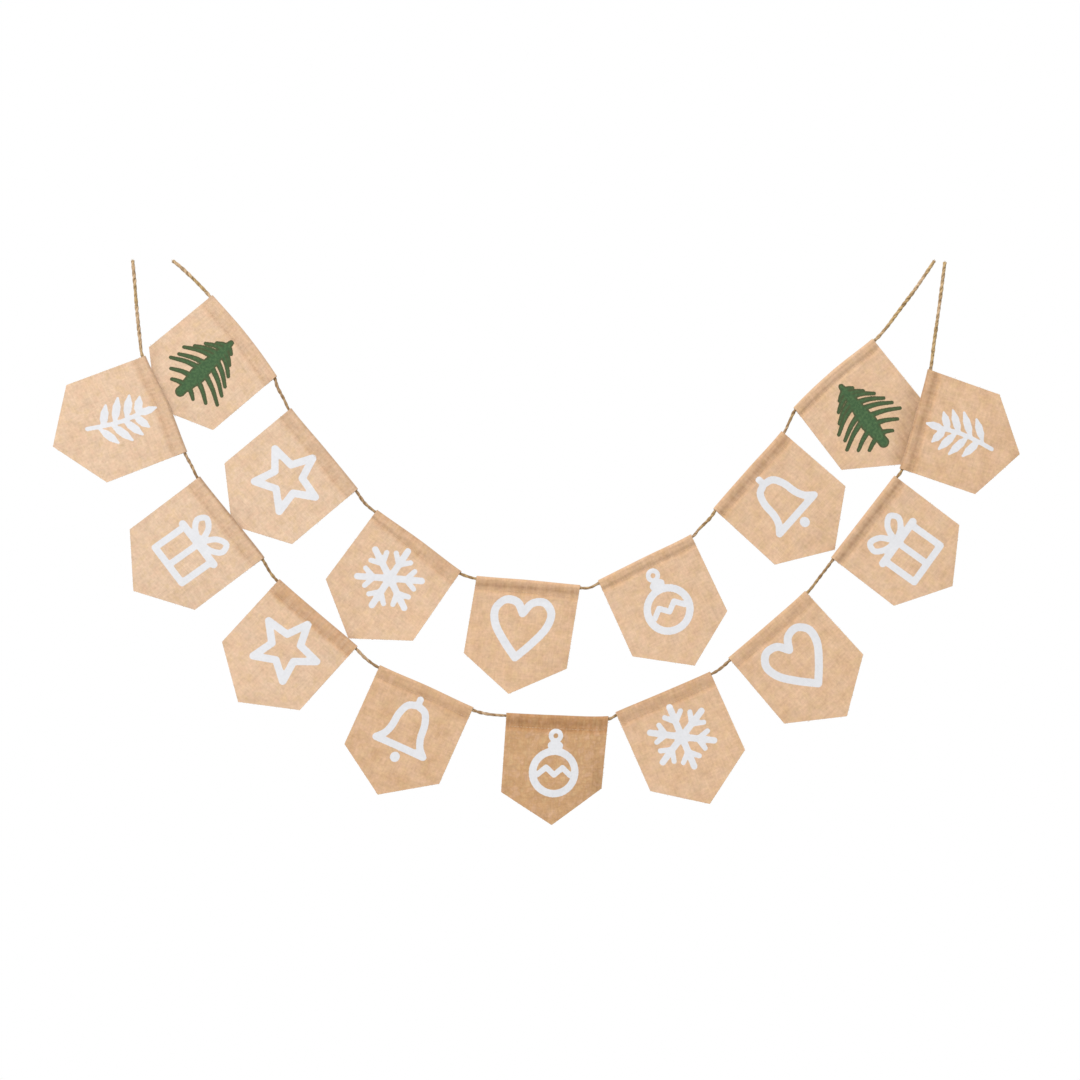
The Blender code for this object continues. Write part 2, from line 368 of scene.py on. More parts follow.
def jute_twine():
    """The twine's finish. Its map is in millimetres along it, and goes up by one round each ply."""
    material, tree, shader = start_finish("jute twine", 0.9, 0.1)
    _, along, around = uv_parts(tree, "on the twine")
    from_ply = reckon(tree, "ADD", around, 0.5)
    ply = reckon(tree, "FLOOR", from_ply)
    from_groove = reckon(tree, "PINGPONG", from_ply, 0.5)

    def drawn_out(close, aside, further=0.0, detail=1.0):
        return clouds(tree, place(tree, times(tree, along, close), aside, further), 1.0, detail)

    stretches = drawn_out(STRETCH_CLOSE, 3.0)
    blotches = drawn_out(BLOTCH_CLOSE, times(tree, ply, PLIES_APART), detail=2.0)
    flecks = drawn_out(FLECK_CLOSE, times(tree, around, FLECKS_ROUND), further=9.0)
    slant = scaled(tree, along, FIBRE_SLANT, times(tree, around, FIBRES_ROUND))
    fibres = drawn_out(FIBRE_CLOSE, slant, detail=2.0)

    colour = tint(tree, between(tree, stretches, 0.40, 0.60), JUTE_OCHRE, JUTE_TAN)
    colour = tint(tree, between(tree, blotches, 0.42, 0.68, 0.0, 0.8), colour, JUTE_BROWN)
    colour = tint(tree, between(tree, flecks, 0.58, 0.75, 0.0, 0.8), colour, JUTE_DARK)
    colour = tint(tree, between(tree, fibres, 0.35, 0.7, 0.0, 0.5), colour, JUTE_BROWN)
    # Painted shade in the grooves between the plies, stronger in some stretches than others.
    deep = times(
        tree, between(tree, blotches, 0.35, 0.6, 0.35, 0.95),
        between(tree, stretches, 0.42, 0.6, 1.0, 0.6),
    )
    groove_shade = times(tree, between(tree, from_groove, 0.0, GROOVE_WIDTH, 1.0, 0.0), deep)
    colour = tint(tree, groove_shade, colour, JUTE_DARK)
    spots = between(tree, reckon(tree, "ADD", blotches, flecks), 0.84, 1.08, 0.2, TIGHT_DARK)
    colour = tint(tree, times(tree, attribute(tree, "drawn tight"), spots), colour, TIGHT_BROWN)
    wire(tree, shader.inputs["Base Color"], colour)
    raise_surface(tree, shader, fibres, 0.3, 0.8)
    return material


jute = jute_twine()
twines = {}
for label, (route, depth) in ROWS.items():
    path, marks = twine_path(route, depth)
    first, last = TIGHT_SPANS[label]
    tight = (first < marks) & (marks < last)
    thickness = uneven(marks, depth) * (1 - TIGHT_THIN * tight)
    apart = how_open(marks, depth)
    piece = lay_twine(f"jute_twine_{label}", path, marks, thickness, apart, tight, jute)
    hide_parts(f"twine_{label}")
    twines[label] = (piece, path, marks)

# The pennants. Each is one piece of burlap with a straight top, two sides and a point. Its top
# edge is turned to the back over the twine and stitched, which makes the casing, and the rest
# hangs free.
CLOTH = 1.0
CASING_CLOTH = 1.2          # with its nap, as it lies round the twine
TWINE_PLAY = 0.5
LAYER_GAP = 0.4
FLAP_BELOW_STITCH = 2.0
FOLD_RADIUS = TWINE_RADIUS + TWINE_PLAY + CASING_CLOTH / 2
FOLD_START = radians(-25)
FOLD_END = radians(205)
FOLD_STEPS = 8
EDGE_ABOVE_TWINE = FOLD_RADIUS + CASING_CLOTH / 2
HALF_LAYERS = (CASING_CLOTH + LAYER_GAP) / 2
PINCH_MOST = 5.0            # from the twine's middle down to the pinch
PINCH_AT = 0.6              # of the way from the fold to the stitches, in a shallow casing
PINCH_BEHIND = 0.25         # how wide the pinch is still, behind and before: 0 is closed
PINCH_BEFORE = 0.72
PINCH_CLOSES = 0.225        # by so much before, where a pennant's pinch is 1
SWELL = 2.1
SWELL_DROP = 5.0
SWELL_FADE = 0.4
CASING_ROWS = 44
SECTION_STEPS = 6           # between two points of the casing's section, when it is smoothed

# One pennant. gap: free twine before it. hem_*: from the top edge down to the stitches, at the left
# and right. left, tip, right: the two shoulders and the tip as they hang, across and down from the
# top left corner. belly, lift_*: how far the middle, the shoulders and the tip stand forward.
# tone: 0 for the lightest burlap, 1 for the brownest. casing, pinch, crest: the painted shade on
# the doubled cloth, in the pinch under the twine and on the fold's crest. print: the motif.
Pennant = namedtuple(
    "Pennant",
    "gap width hem_left hem_right left tip right belly lift_left lift_right lift_tip "
    "tone casing pinch crest print",
)
PENNANTS = {"upper": (
    Pennant(63.5, 125.5, 16.5, 16.5, (1.5, 100), (64.5, 139), (128.5, 101.5),
            0.7, -1.0, -1.0, 0.0, 0.1, 0.3, 0, 0.2, "fir"),
    Pennant(43.0, 127, 15.5, 16, (0, 105.5), (64, 146.5), (128, 104.5),
            0.2, -2.0, 2.0, 0.0, 0.06, 0.4, 0.1, 0.5, "star"),
    Pennant(36.0, 126, 11, 17, (-1, 105), (63.5, 147), (128.5, 103),
            -1.5, 1.0, 3.0, -1.0, 0.28, 0.5, 0, 0.4, "flake"),
    Pennant(22.0, 126, 15, 16, (-7.5, 95), (51, 139.5), (118.5, 103),
            1.0, -3.0, -2.5, 1.5, 0.5, 0.35, 0.65, 0, "heart"),
    Pennant(25.0, 125.5, 13, 13.5, (-3.5, 101.5), (59, 145), (124, 103.5),
            1.5, 2.0, -3.0, 1.0, 0.36, 0.4, 0.05, 0, "bauble"),
    Pennant(43.5, 125, 14, 15, (-2, 101), (60, 144), (126, 102.5),
            -2.0, 2.5, 1.0, -2.5, 0.4, 0.45, 0.5, 0.1, "bell"),
    Pennant(32.0, 127, 12.5, 13, (-6, 95.5), (65, 147), (123, 101),
            0.6, -1.5, 0.0, 0.0, 0.36, 0.25, 0.1, 0, "fir"),
), "lower": (
    Pennant(118.0, 126.5, 13.5, 15, (-6, 102.5), (56, 147), (122, 104),
            1.5, -2.0, 2.5, -1.5, 0.08, 0.4, 0, 0.55, "sprig"),
    Pennant(35.0, 125.5, 16.5, 17, (-2.5, 106.5), (58.5, 149.5), (122.5, 106),
            1.5, 3.0, -1.5, 1.0, 0.06, 0.35, 0, 1.2, "gift"),
    Pennant(33.0, 124.5, 16, 14, (-3.5, 103.5), (59, 145.5), (122, 104.5),
            1.0, -2.5, 1.5, 2.0, 0.2, 0.85, 0, 0.3, "star"),
    Pennant(37.0, 124, 14, 14, (0, 105), (62, 144.5), (124.5, 102),
            -1.5, 2.0, -2.5, 1.0, 0.63, 0.25, 0, 0.1, "bell"),
    Pennant(42.5, 123.5, 16, 16.5, (-3.5, 96.5), (59, 134.5), (118, 88.5),
            1.5, -1.5, -5.0, -1.5, 1, 0.75, 0.3, 0.2, "bauble"),
    Pennant(11.5, 124.5, 16, 16, (1, 104.5), (61, 147.5), (126, 104),
            1.0, 2.0, 2.5, -2.0, 0.47, 0.45, 0.1, 0.5, "flake"),
    Pennant(29.5, 123, 15, 15.5, (-1.5, 105), (61.5, 148), (125.5, 104.5),
            -1.5, -2.0, 1.5, 1.5, 0.47, 0.25, 0, 0.2, "heart"),
    Pennant(52.5, 125, 14.5, 15, (0, 96), (62.5, 138), (126, 99),
            1.5, 1.5, -1.5, -4.0, 0.4, 0.3, 0.7, 0.1, "gift"),
    Pennant(12.5, 125, 15, 14, (-5, 97), (56.5, 136), (119, 92),
            1.0, -2.0, 2.0, -4.5, 0.52, 0.4, 0.5, 0.65, "sprig"),
)}


def blend(low, high, share):
    """A value between two others."""
    return low + (high - low) * share


def casing_section(hem, pinch):
    """The cloth's path from the raw edge of the flap, over the twine, to the swell below the
    stitches: how far forward it is and how high, from the twine's middle."""
    stitch = EDGE_ABOVE_TWINE - hem
    fold = [
        (-FOLD_RADIUS * cos(angle), FOLD_RADIUS * sin(angle))
        for angle in np.linspace(FOLD_START, FOLD_END, FOLD_STEPS + 1)
    ]
    down = max(-PINCH_MOST, blend(fold[-1][1], stitch, PINCH_AT))
    behind = blend(HALF_LAYERS, FOLD_RADIUS, PINCH_BEHIND)
    before = blend(HALF_LAYERS, FOLD_RADIUS, PINCH_BEFORE - PINCH_CLOSES * pinch)
    return (
        [(-HALF_LAYERS, stitch - FLAP_BELOW_STITCH), (-HALF_LAYERS, stitch), (-behind, down)]
        + fold
        + [(before, down), (HALF_LAYERS, stitch), (SWELL, stitch - SWELL_DROP)]
    )


def body_forward(pennant, share, down):
    """How far forward the hanging cloth is. share runs across it, and down runs from the swell to
    the lower edge, both from 0 to 1."""
    swell = (SWELL - HALF_LAYERS) * np.maximum(0.0, 1 - down / SWELL_FADE) ** 2
    middle = pennant.belly * 4 * share * (1 - share) * np.sin(pi / 2 * down)
    left = pennant.lift_left * (1 - share) ** 2 * down**2
    right = pennant.lift_right * share**2 * down**2
    tip = pennant.lift_tip * max(0.0, 1 - abs(2 * share - 1)) ** 2 * down**3
    return HALF_LAYERS + swell + middle + left + right + tip


def lower_edge(pennant, share):
    """The point of the lower edge below this share of the top, across and down."""
    left, tip, right = map(np.array, (pennant.left, pennant.tip, pennant.right))
    if share <= 0.5:
        return blend(left, tip, 2 * share)
    return blend(tip, right, 2 * share - 1)


def cloth_column(pennant, hung_from, share, rows):
    """One column of the cloth from the flap's edge to the lower edge, in the pennant's own frame:
    across, forward, height, and how far down the cloth it was before it was folded."""
    hem = blend(pennant.hem_left, pennant.hem_right, share)
    section, along = smooth(casing_section(hem, pennant.pinch), SECTION_STEPS)
    marks = np.linspace(0, along[-1], CASING_ROWS)
    forward, height = at_lengths(marks, section, along).T
    right_lean = (pennant.right[0] - pennant.width) / pennant.right[1]
    lean = blend(pennant.left[0] / pennant.left[1], right_lean, share)
    across = hung_from[0] + lean * np.maximum(0.0, EDGE_ABOVE_TWINE - height)
    length_down = hem + SWELL_DROP - along[-1] + marks
    height = height + hung_from[1]

    down = np.linspace(0, 1, rows + 1)[1:]
    edge = lower_edge(pennant, share)
    body = np.column_stack((
        blend(across[-1], edge[0], down),
        body_forward(pennant, share, down),
        blend(height[-1], EDGE_ABOVE_TWINE - edge[1], down),
        blend(length_down[-1], edge[1], down),
    ))
    return np.vstack((np.column_stack((across, forward, height, length_down)), body))


# The prints: white and green fabric paint put on through a stencil, each motif drawn with a broad
# stroke. A stroke is its points, across and down from the motif's middle, and its half width at
# both ends.
MOTIF_DOWN = 59.0           # from the top edge to the motif's middle


def round_points(radii, count, middle=(0, 0)):
    """Points round a middle, the radii taken by turns, the first one straight up."""
    return [
        (
            middle[0] + radii[k % len(radii)] * sin(2 * pi * k / count),
            middle[1] - radii[k % len(radii)] * cos(2 * pi * k / count),
        )
        for k in range(count)
    ]


def closed_line(points, half):
    """A stroke round a closed outline, with its half width."""
    return [([*points, points[0]], half, half)]


def curved(points, half):
    """A stroke on a smooth curve through its points."""
    return [(smooth(points, 5)[0], half, half)]


def both_ways(points, half):
    """A curved stroke and its mirror image."""
    return curved(points, half) + curved([(-across, down) for across, down in points], half)


def star():
    return closed_line(round_points((40, 18), 10), 4.5)


def flake():
    strokes = []
    for tip in round_points((39,), 6):
        tip = np.array(tip)
        square = np.array((-tip[1], tip[0]))
        strokes.append(([(0, 0), tip], 4.2, 3.9))
        strokes += [([0.5 * tip, 0.76 * tip + way * 0.27 * square], 3.3, 3.1) for way in (-1, 1)]
    return strokes


def heart():
    return both_ways([(0, -18), (9, -31), (24, -33), (34, -21), (31, -3), (17, 17), (0, 36)], 4.8)


def bauble():
    rim = closed_line(round_points((26,), 36, (0, 11)), 4.5)
    band = ([(-20, 14), (-10, 5), (0, 14), (10, 5), (20, 14)], 3.4, 3.4)
    cap = ([(-5, -22), (5, -22)], 4.4, 4.4)
    return rim + [band, cap] + closed_line(round_points((6,), 14, (0, -34)), 2.8)


def bell():
    flare = both_ways([(0, -32), (11, -28), (17, -15), (19, 2), (23, 13), (31, 22)], 4.4)
    rim = ([(-31, 22), (31, 22)], 4.4, 4.4)
    clapper = ([(0, 35), (0, 36)], 5.8, 5.8)
    handle = ([(0, -40), (0, -34)], 4.0, 4.0)
    return flare + [rim, clapper, handle]


def gift():
    box = closed_line([(-27, -6), (27, -6), (27, 38), (-27, 38)], 4.2)
    bow = both_ways([(0, -10), (8, -27), (20, -33), (25, -23), (15, -13), (0, -9)], 3.6)
    ribbon = ([(0, -6), (0, 38)], 4.0, 4.0)
    lid = ([(-31, -6), (31, -6)], 4.6, 4.6)
    return box + bow + [ribbon, lid]


def leaf(start, tip, fat):
    """A leaf as three strokes: it widens, stays wide and ends in a point."""
    start, tip = np.array(start, float), np.array(tip, float)
    widest, narrowing = blend(start, tip, 0.36), blend(start, tip, 0.66)
    return [
        ([start, widest], 1.2, fat), ([widest, narrowing], fat, fat), ([narrowing, tip], fat, 1.4)
    ]


def sprig():
    """A curved stem with four pairs of leaves and one at its top."""
    strokes = curved([(-5, 42), (-1, 20), (1, 0), (0, -24)], 2.6)
    for root, reach in ((27, 24), (12, 27), (-3, 25), (-17, 19)):
        for way in (-1, 1):
            staggered = root + 2 * way
            strokes += leaf((0, staggered), (way * reach, staggered - 0.62 * reach), 4.6)
    return strokes + leaf((0, -20), (0, -43), 4.4)


def fir():
    """A fir seen from the side: drooping branches along both sides of a solid middle, and a stout
    foot."""
    strokes = [
        ([(0, -43), (0, -34)], 3.6, 5.4), ([(0, -34), (0, 12)], 5.4, 10.6),
        ([(0, 12), (0, 30)], 10.6, 7.4), ([(0, 30), (0, 40)], 6.0, 6.4),
    ]
    # Each branch's tip, and how far it droops for each millimetre that it reaches out.
    right = (
        (10, -34, 0.4), (18, -24, 0.45), (27, -14, 0.5), (33, -3, 0.45), (38, 7, 0.4),
        (42, 18, 0.35), (31, 27, 0.4), (17, 35, 0.4),
    )
    left = (
        (12, -31, 0.5), (21, -21, 0.5), (28, -10, 0.5), (36, 0, 0.5), (34, 10, 0.45),
        (38, 20, 0.45), (28, 29, 0.45), (18, 37, 0.4),
    )
    for way, tips in ((1, right), (-1, left)):
        for reach, down, steep in tips:
            droop = steep * reach
            bend = (way * 0.55 * reach, down - 0.58 * droop)
            branch = [(0, down - droop), bend, (way * reach, down)]
            strokes.append((smooth(branch, 4)[0], 3.9, 2.3))
    return strokes


PRINTS = {
    "star": star, "flake": flake, "heart": heart, "bauble": bauble, "bell": bell, "gift": gift,
    "sprig": sprig, "fir": fir,
}
# How far a print is off its place, across and down, and its turn. The others are straight.
ASKEW = {
    "upper_1": (0.0, 5.5, 4.6), "upper_3": (-2.0, 0.0, 2.0), "upper_7": (-6.0, 6.0, -4.5),
    "lower_2": (1.5, 0.0, -1.5), "lower_8": (1.0, 0.0, 2.0),
}
BARE = 50.0                 # from a place with no print to its nearest paint


def from_line(places, start, stop):
    """How far along a straight line the nearest point to each place is, from 0 to 1, and how far
    away it is."""
    start = np.array(start, float)
    way = np.array(stop, float) - start
    share = np.clip((places - start) @ way / (way @ way), 0, 1)
    return share, np.linalg.norm(places - start - share[..., None] * way, axis=-1)


def from_strokes(places, strokes):
    """How far each place is outside the nearest stroke, or inside it where that is below 0."""
    nearest = np.full(len(places), BARE)
    for points, half_start, half_stop in strokes:
        lengths = lengths_along(points)
        for k, (start, stop) in enumerate(zip(points, points[1:])):
            share, away = from_line(places, start, stop)
            along = blend(lengths[k], lengths[k + 1], share) / lengths[-1]
            nearest = np.minimum(nearest, away - blend(half_start, half_stop, along))
    return nearest


# Soft creases in the cloth: from one point to another, across and down the cloth, how wide each
# is, and how far it stands forward, or back where that is below 0.
CREASES = {
    "upper_2": [((96, 12), (122, 34), 7, -0.5)],
    "upper_4": [((66, 22), (120, 26), 5, -0.6), ((20, 60), (26, 100), 14, 0.5)],
    "upper_6": [((30, 118), (88, 124), 9, -0.9)],
    "lower_3": [((10, 30), (40, 22), 6, -0.6)],
    "lower_4": [((90, 18), (122, 20), 5, -0.9)],
    "lower_5": [((86, 60), (112, 96), 12, -1.0), ((10, 24), (60, 28), 6, -0.5)],
    "lower_7": [((20, 96), (60, 118), 12, 0.6)],
    "lower_8": [((96, 62), (97, 100), 4, -1.0)],
    "lower_9": [((60, 112), (90, 118), 9, -0.8)],
}

# The same for painted shadows on the cloth: where a casing of the front row lies over it, and
# where a corner curls.
PAINTED_SHADOWS = {
    "upper_7": [((120, 84), (60, 130), 12, 0.6), ((14, 14), (30, 16), 6, 0.2)],
    "upper_1": [((2, 92), (20, 108), 5, 0.25)],
    "upper_6": [((40, 120), (80, 126), 7, 0.15)],
    "lower_5": [((113, 56), (117, 86), 7, 0.35), ((6, 84), (3, 94), 6, 0.2)],
    "lower_9": [((50, 131), (60, 133), 5, 0.45)],
}


def fade(value, middle, spread):
    """1 at the middle, and less to both sides of it."""
    return np.exp(-(((value - middle) / spread) ** 2))


def soft_lines(lines, places):
    """The sum of soft lines at each place."""
    total = np.zeros(places.shape[:-1])
    for start, stop, width, most in lines:
        total += most * fade(from_line(places, start, stop)[1], 0.0, width)
    return total


# Where the cloth is uneven or has painted shade, down from its top edge, or below its stitches
# where the name says so. CLOSE and LONG are how often the unevenness comes in a millimetre,
# across and down.
FOLD_DOWN = 4.0             # the cloth lies smooth on the twine so far
PUCKER = 0.42               # how far the cloth stands out between tight stitches
PUCKER_SPREAD = 4.5
PUCKER_CLOSE = 0.16
SMALL_PUCKER = 0.7
SMALL_PUCKER_CLOSE = 0.37
PUCKER_LONG = 0.03
BUCKLE = 0.55               # how far the hanging cloth is from flat
BUCKLE_CLOSE = 0.024
BUCKLE_LONG = 0.021
LOOSE_BELOW, LOOSE_OVER = 2.0, 14.0     # where the cloth comes to hang free
# The doubled cloth's painted shade is full down to this far below the stitches, and fades out over
# the next.
DOUBLED_BELOW, DOUBLED_OVER = 2.0, 6.0
# Painted shade in the pinch under the twine, on the fold's crest and just below the seam.
PINCH_DOWN, PINCH_SPREAD = 9.2, 3.0
CREST_DOWN, CREST_SPREAD = 0.6, 1.9
SEAM_BELOW, SEAM_SPREAD, SEAM_DARK = 0.7, 2.2, 0.22
FINE = {"fir": (144, 108)}  # columns and rows for a print with fine fingers
PLAIN = (84, 64)


def hem_at(pennant, share):
    """How far down the stitches are at this share of the way across."""
    return blend(pennant.hem_left, pennant.hem_right, share)


def soften(label, pennant, share, column, seed):
    """Adds the puckers at the stitches, the cloth's slight buckling and its creases to a column."""
    hem = hem_at(pennant, share)
    across = share * pennant.width
    for row in column:
        down = row[3]
        if down < FOLD_DOWN:
            continue
        pucker = noise.noise(Vector((across * PUCKER_CLOSE, seed, down * PUCKER_LONG)))
        pucker += SMALL_PUCKER * noise.noise(
            Vector((across * SMALL_PUCKER_CLOSE, seed + 3, down * PUCKER_LONG))
        )
        buckle = noise.noise(Vector((across * BUCKLE_CLOSE, seed + 7, down * BUCKLE_LONG)))
        loose = np.clip((down - hem - LOOSE_BELOW) / LOOSE_OVER, 0, 1)
        crease = soft_lines(CREASES.get(label, ()), np.array((across, down)))
        row[1] += PUCKER * pucker * fade(down, hem, PUCKER_SPREAD)
        row[1] += loose * (BUCKLE * buckle + crease)
    return column


def painted_shade_where_doubled(pennant, share, down):
    """The painted shade down to the flap's edge, where the doubled cloth lets no light through it.
    """
    past = np.clip((down - hem_at(pennant, share) - DOUBLED_BELOW) / DOUBLED_OVER, 0, 1)
    return pennant.casing * (1 - past * past * (3 - 2 * past))


def painted_shade_marks(pennant, share, down):
    """The painted shade in the pinch under the twine, on the fold's crest and at the seam."""
    pinch = pennant.pinch * fade(down, PINCH_DOWN, PINCH_SPREAD)
    crest = pennant.crest * fade(down, CREST_DOWN, CREST_SPREAD)
    seam = SEAM_DARK * fade(down, hem_at(pennant, share) + SEAM_BELOW, SEAM_SPREAD)
    return pinch + crest + seam


def casing_starts(pennants):
    """How far along its twine each pennant's casing starts."""
    starts, along = [], 0.0
    for pennant in pennants:
        starts.append(along + pennant.gap)
        along = starts[-1] + pennant.width
    return starts


class Hung:
    """A pennant's cloth as it hangs: its own frame, and its columns and rows of points."""

    def __init__(self, label, pennant, start, route, depth, seed):
        self.label, self.pennant, self.seed = label, pennant, seed
        self.columns, self.rows = FINE.get(pennant.print, PLAIN)
        places, along = smooth(route, CURVE_STEPS)
        shares = np.linspace(0, 1, self.columns + 1)
        held = at_lengths(start + pennant.width * shares, places, along)
        chord = held[-1] - held[0]
        slope = atan2(chord[1], chord[0])
        self.turn = np.array(((cos(slope), -sin(slope)), (sin(slope), cos(slope))))
        self.first, self.depth = held[0], depth
        self.shares = shares
        columns = [
            cloth_column(pennant, hung_from, share, self.rows)
            for share, hung_from in zip(shares, (held - held[0]) @ self.turn)
        ]
        self.grid = np.array([
            soften(label, pennant, share, column, seed) for share, column in zip(shares, columns)
        ])

    def world(self, points):
        """Turns across, forward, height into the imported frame, in millimetres."""
        points = np.asarray(points, float)
        flat = points[..., (0, 2)] @ self.turn.T + self.first
        return np.stack((flat[..., 0], self.depth - points[..., 1], flat[..., 1]), -1)


CLOTH_SHIFT = 200.0         # so that no two pennants are cut from one place of the cloth
SHARP_EDGE = radians(50)


def marks_on(hung, cloth_at):
    """What the materials read at each point: how far it is from paint, the cloth's tone and its
    painted shade.
    """
    pennant = hung.pennant
    aside, lower, lean = ASKEW.get(hung.label, (0.0, 0.0, 0.0))
    lean = radians(lean)
    on_motif = cloth_at.reshape(-1, 2) - (pennant.width / 2 + aside, MOTIF_DOWN + lower)
    on_motif = on_motif @ np.array(((cos(lean), sin(lean)), (-sin(lean), cos(lean))))
    to_paint = from_strokes(on_motif, PRINTS[pennant.print]()).reshape(cloth_at.shape[:2])
    across, down = hung.shares[:, None], cloth_at[:, :, 1]
    bare = np.full_like(to_paint, BARE)
    green = pennant.print == "fir"
    return {
        "white paint": bare if green else to_paint,
        "green paint": to_paint if green else bare,
        "tone": np.full_like(bare, pennant.tone),
        "doubled painted shade": painted_shade_where_doubled(pennant, across, down),
        "painted shade marks": painted_shade_marks(pennant, across, down)
        + soft_lines(PAINTED_SHADOWS.get(hung.label, ()), cloth_at),
    }


def sew_cloth(hung, materials):
    """Maps a grid on the hanging cloth, marks the print on it, and gives it its thickness."""
    columns, rows = hung.columns, hung.grid.shape[1] - 1
    places = hung.world(hung.grid)
    across = np.broadcast_to(hung.shares[:, None] * hung.pennant.width, hung.grid.shape[:2])
    cloth_at = np.stack((across, hung.grid[:, :, 3]), -1)
    marked = marks_on(hung, cloth_at)

    def column_and_row(vertex):
        return round((vertex.co.x + 0.5) * columns), round((0.5 - vertex.co.y) * rows)

    sheet = bmesh.new()
    bmesh.ops.create_grid(sheet, x_segments=columns, y_segments=rows, size=0.5)
    on_cloth = sheet.loops.layers.uv.new("on the cloth")
    layers = {name: sheet.verts.layers.float.new(name) for name in marked}
    for face in sheet.faces:
        for corner in face.loops:
            corner[on_cloth].uv = cloth_at[column_and_row(corner.vert)] + CLOTH_SHIFT * hung.seed
    for vertex in sheet.verts:
        spot = column_and_row(vertex)
        for name, values in marked.items():
            vertex[layers[name]] = values[spot]
        vertex.co = places[spot]
    cloth = add_mesh(f"burlap_{hung.label}", sheet, materials)
    thick = cloth.modifiers.new("thickness", "SOLIDIFY")
    thick.thickness = CLOTH * MM
    thick.offset = 0.0
    thick.use_even_offset = True
    thick.material_offset = 1
    thick.material_offset_rim = 1
    finished = cloth.evaluated_get(bpy.context.evaluated_depsgraph_get())
    solid = bpy.data.meshes.new_from_object(finished)
    cloth.modifiers.clear()
    cloth.data = solid
    solid.set_sharp_from_angle(angle=SHARP_EDGE)
    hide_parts(f"pennant_{hung.label}")
    return cloth


# Burlap: light tan jute yarn in a plain weave, no two yarns quite alike, with soft pinkish and
# ochre blotches. The gaps between the yarns get a painted shade. The paint lies on the yarns.
LIGHT_BURLAP = (0.503, 0.363, 0.254)
TAN_BURLAP = (0.49, 0.322, 0.198)
BROWN_BURLAP = (0.386, 0.2235, 0.1075)
PINK_BURLAP = (0.51, 0.325, 0.225)
OCHRE_BURLAP = (0.475, 0.33, 0.175)
# Painted shade, multiplied in where the cloth is doubled and lets no light through it.
DOUBLED_SHADE_TINT = (0.84, 0.73, 0.61)
# Painted shade, multiplied in at the pinch, the crest, the seam and the painted shadows.
PAINTED_SHADE_TINT = (0.66, 0.61, 0.55)
# Painted shade in the gaps between the yarns.
GAP_SHADE = (0.16, 0.09, 0.04)
WHITE_PAINT = (0.512, 0.515, 0.532)
GREEN_PAINT = (0.026, 0.068, 0.025)
GREEN_LIGHT = (0.044, 0.098, 0.036)
GREEN_DARK = (0.042, 0.050, 0.018)
GREEN_RIM = 3.2             # how far in from its edge the green is darker
PAINT_EDGE = 0.3
PAINT_RAGGED = 1.3

YARN_PITCH = 1.3
YARN_WOBBLE = 2.4
# How often each unevenness comes in a millimetre, and how much of the light or the colour it
# changes. The yarns' own shades are counted from yarn to yarn instead.
WOBBLE_CLOSE, RAGGED_CLOSE = 0.11, 0.9
SHADE_CLOSE, SHADE_LONG, SHADE_LIGHT = 5.3, 0.045, 0.14
SLUB_CLOSE, SLUB_LONG, SLUB_LIGHT = 0.40, 0.05, 0.20
CLOTH_FLECK_CLOSE, FLECK_LIGHT = 0.30, 0.40
PATCH_CLOSE, PATCH_LIGHT = 0.085, 0.30
CLOTH_BLOTCH_CLOSE, BLOTCH_TONE = 0.045, 0.8
HUE_CLOSE, HUE_MOST = 0.14, 0.36
GATHER_CLOSE, GATHER_LONG = 0.26, 0.03


def streaks(tree, across, along, close, long, further=0.0):
    """Soft streaks that lie along one way of the cloth."""
    spot = place(tree, times(tree, across, close), times(tree, along, long), further)
    return clouds(tree, spot, 1.0, 2.0)


